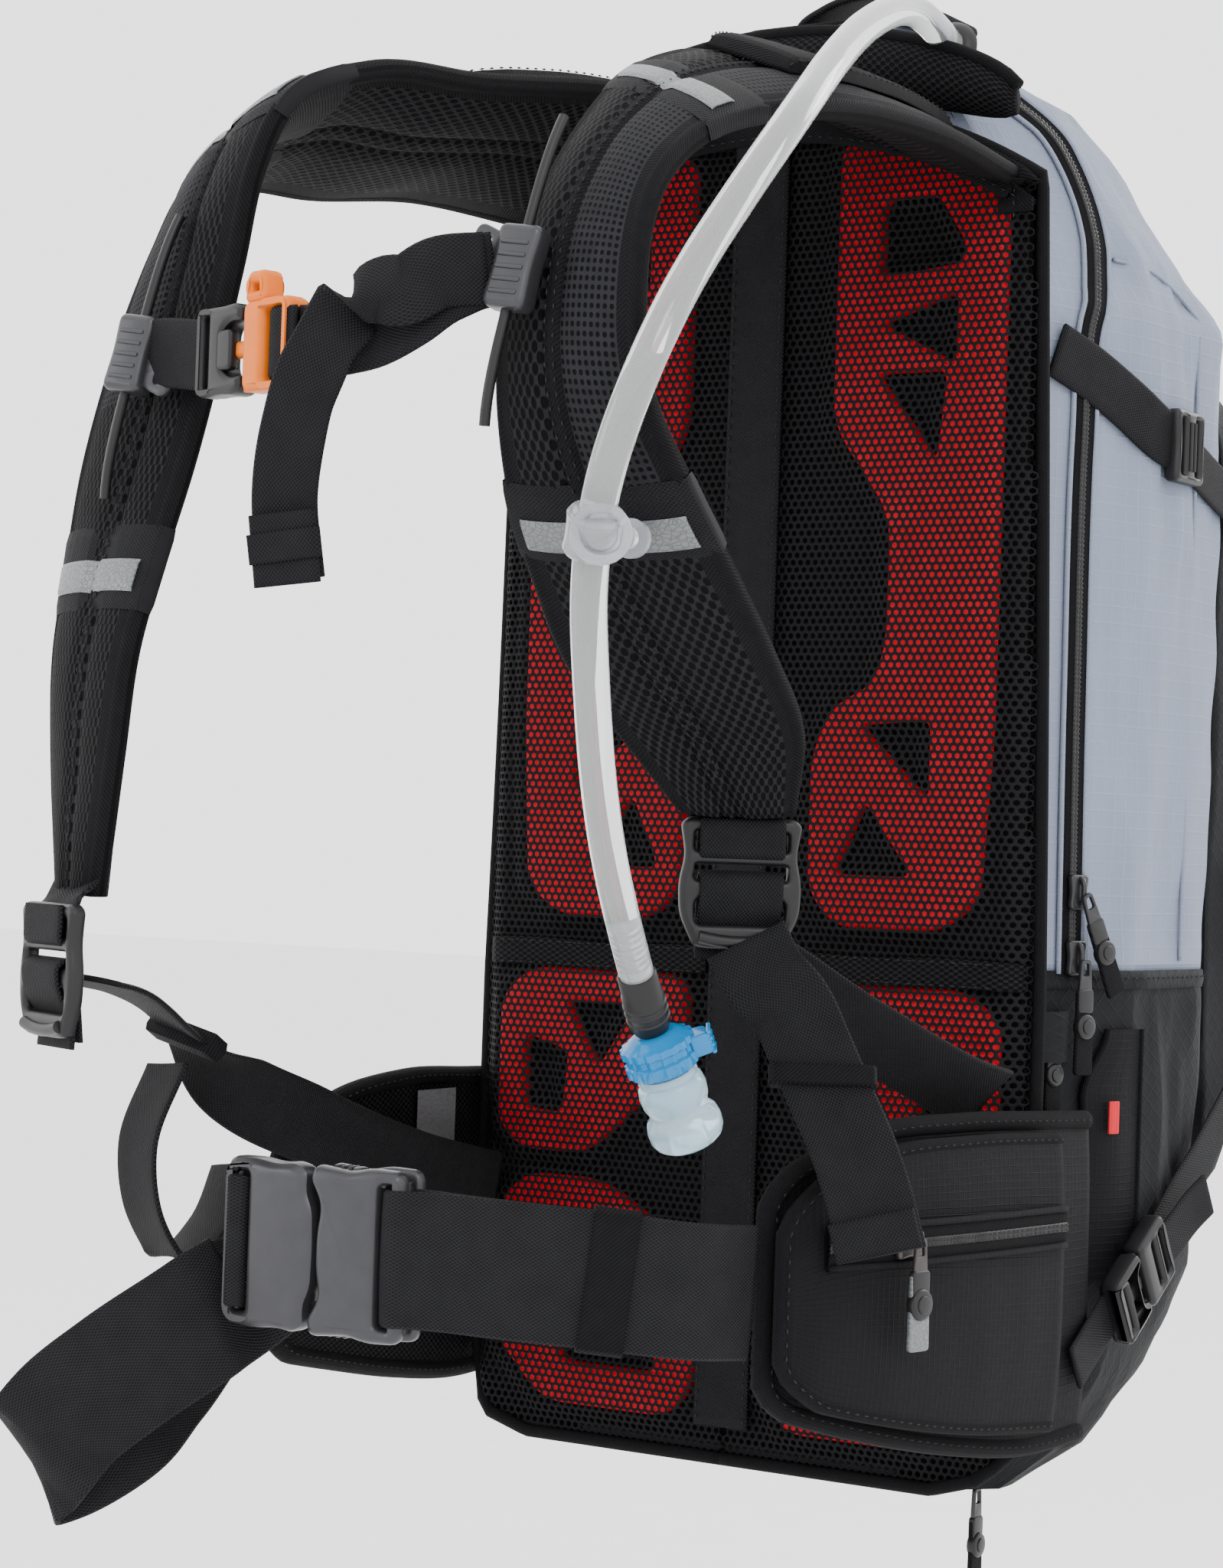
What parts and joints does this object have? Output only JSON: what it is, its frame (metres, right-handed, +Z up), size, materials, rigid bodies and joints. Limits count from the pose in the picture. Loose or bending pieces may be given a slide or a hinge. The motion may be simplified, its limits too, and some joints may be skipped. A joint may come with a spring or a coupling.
{
  "type": "ski backpack",
  "caption": "Ski backpack with foam and mesh back panel, curved shoulder straps, sliding chest strap, pocketed hip belt with side-release buckle, side zips and drink tube.",
  "frame": {"origin": "lower end of the back panel's centre line, on the face that meets the wearer's back", "axes": "+Z up along the wearer's back, -Y towards the wearer, +X to the wearer's left"},
  "size_m": [0.2515, 0.4339, 0.532],
  "materials": {
    "ripstop_pale": "matte coated ripstop",
    "fabric_black": "matte woven nylon",
    "mesh_black": "open spacer mesh",
    "foam_red": "perforated closed-cell foam",
    "board_black": "foam board",
    "webbing_black": "woven polyester webbing",
    "plastic_black": "satin acetal",
    "plastic_grey": "metallic grey acetal",
    "plastic_orange": "satin acetal",
    "tube_clear": "clear flexible tube",
    "film_clear": "welded film",
    "valve_soft": "soft moulding",
    "zip_metal": "black painted zinc"
  },
  "bodies": {
    "pack": {"main_bag": "ripstop_pale", "base_bag": "fabric_black", "front_pocket": "ripstop_pale", "side_pockets": "fabric_black", "back_mesh": "mesh_black", "long_pads": "foam_red", "lumbar_pads": "foam_red", "back_board": "board_black", "frame_sheet": "board_black", "reservoir": "film_clear", "centre_strip": "webbing_black", "panel_binding": "fabric_black", "yoke": "mesh_black", "haul_loop": "webbing_black", "tube_port": "valve_soft", "shoulder_strap_left": "mesh_black", "shoulder_strap_right": "mesh_black", "shoulder_covers": "fabric_black", "sternum_rails": "plastic_black", "ladder_lock_left": "plastic_black", "ladder_lock_right": "plastic_black", "strap_webbing_left": "webbing_black", "strap_webbing_right": "webbing_black", "webbing_keepers": "webbing_black", "hip_wing_left": "mesh_black", "hip_wing_right": "mesh_black", "wing_pocket": "fabric_black", "belt_webbing_left": "webbing_black", "belt_buckle_female": "plastic_grey", "drink_tube": "tube_clear", "tube_connector": "valve_soft", "bite_valve_tip": "valve_soft", "hose_clip": "plastic_black", "zip_tracks": "webbing_black", "compression_webbings": "webbing_black", "compression_locks": "plastic_black", "lower_buckle_female": "plastic_black"},
    "belt_right": {"belt_buckle_male": "plastic_grey", "belt_webbing_right": "webbing_black"},
    "prong_upper": {"belt_prong_upper": "plastic_grey"},
    "prong_lower": {"belt_prong_lower": "plastic_grey"},
    "chest": {"sternum_sliders": "plastic_black", "sternum_webbing_right": "webbing_black", "sternum_buckle_female": "plastic_black", "sternum_tail": "webbing_black"},
    "chest_male": {"sternum_buckle_male": "plastic_orange", "sternum_webbing_left": "webbing_black"},
    "main_slider_upper": {"main_zip_slider_upper": "zip_metal"},
    "main_puller_upper": {"main_zip_puller_upper": "fabric_black"},
    "main_slider_lower": {"main_zip_slider_lower": "zip_metal"},
    "main_puller_lower": {"main_zip_puller_lower": "fabric_black"},
    "side_puller": {"side_zip_puller": "fabric_black"},
    "base_puller": {"base_zip_puller": "fabric_black"},
    "front_slider": {"front_zip_slider": "zip_metal"},
    "front_puller": {"front_zip_puller": "fabric_black"},
    "wing_slider": {"wing_zip_slider": "zip_metal"},
    "wing_puller": {"wing_zip_puller": "fabric_black"},
    "valve_collar": {"bite_valve_collar": "plastic_black"},
    "lower_male_left": {"lower_buckle_male_left": "plastic_black"},
    "lower_male_right": {"lower_buckle_male_right": "plastic_black"}
  },
  "joints": [
    {"name": "belt_release", "type": "slide", "parent": "pack", "child": "belt_right", "axis": [-1, 0, 0], "range_m": [0, 0.026], "deforming": ["belt_webbing_right"]},
    {"name": "belt_prong_upper_press", "type": "hinge", "parent": "belt_right", "child": "prong_upper", "pos_m": [-0.0215, -0.188, 0.094], "axis": [0, 1, 0], "range_deg": [0, 6], "stiffness_Nm_per_rad": 0.6},
    {"name": "belt_prong_lower_press", "type": "hinge", "parent": "belt_right", "child": "prong_lower", "pos_m": [-0.0215, -0.188, 0.06], "axis": [0, -1, 0], "range_deg": [0, 6], "stiffness_Nm_per_rad": 0.6},
    {"name": "sternum_height", "type": "slide", "parent": "pack", "child": "chest", "axis": [0.1365, 0.1755, 0.975], "range_m": [-0.025, 0.025]},
    {"name": "sternum_release", "type": "slide", "parent": "chest", "child": "chest_male", "axis": [0.96, -0.28, 0], "range_m": [0, 0.014], "deforming": ["sternum_webbing_left"]},
    {"name": "main_zip_upper_slide", "type": "slide", "parent": "pack", "child": "main_slider_upper", "axis": [0, 0, 1], "range_m": [0, 0.135]},
    {"name": "main_zip_upper_pull", "type": "hinge", "parent": "main_slider_upper", "child": "main_puller_upper", "pos_m": [0.10953, 0.03536, 0.1815], "axis": [-0.2964, -0.9551, 0], "range_deg": [0, 120]},
    {"name": "main_zip_lower_slide", "type": "slide", "parent": "pack", "child": "main_slider_lower", "axis": [0, 0, 1], "range_m": [-0.008, 0]},
    {"name": "main_zip_lower_pull", "type": "hinge", "parent": "main_slider_lower", "child": "main_puller_lower", "pos_m": [0.10953, 0.03536, 0.1605], "axis": [-0.2964, -0.9551, 0], "range_deg": [0, 120]},
    {"name": "side_zip_pull", "type": "hinge", "parent": "pack", "child": "side_puller", "pos_m": [0.10247, 0.02813, 0.1417], "axis": [-0.2964, -0.9551, 0], "range_deg": [0, 90]},
    {"name": "base_zip_pull", "type": "hinge", "parent": "pack", "child": "base_puller", "pos_m": [0.074, 0.04, -0.0099], "axis": [0, 1, 0], "range_deg": [-60, 60]},
    {"name": "front_zip_slide", "type": "slide", "parent": "pack", "child": "front_slider", "axis": [0, 0, 1], "range_m": [-0.02, 0.1]},
    {"name": "front_zip_pull", "type": "hinge", "parent": "front_slider", "child": "front_puller", "pos_m": [0.1137, 0.166, 0.1907], "axis": [0, -1, 0], "range_deg": [0, 120]},
    {"name": "wing_zip_slide", "type": "slide", "parent": "pack", "child": "wing_slider", "axis": [0.1961, 0.9806, 0], "range_m": [0, 0.03]},
    {"name": "wing_zip_pull", "type": "hinge", "parent": "wing_slider", "child": "wing_puller", "pos_m": [0.11442, -0.07965, 0.0827], "axis": [-0.1961, -0.9806, 0], "range_deg": [0, 120]},
    {"name": "bite_valve_twist", "type": "hinge", "parent": "pack", "child": "valve_collar", "pos_m": [0.06053, -0.14526, 0.14242], "axis": [0.1244, 0.4354, -0.8916], "range_deg": [0, 90]},
    {"name": "lower_buckle_release_left", "type": "slide", "parent": "pack", "child": "lower_male_left", "axis": [0, 0.8412, 0.5408], "range_m": [0, 0.014], "deforming": ["compression_webbings"]},
    {"name": "lower_buckle_release_right", "type": "slide", "parent": "pack", "child": "lower_male_right", "axis": [0, 0.8412, 0.5408], "range_m": [0, 0.014], "deforming": ["compression_webbings"]}
  ]
}
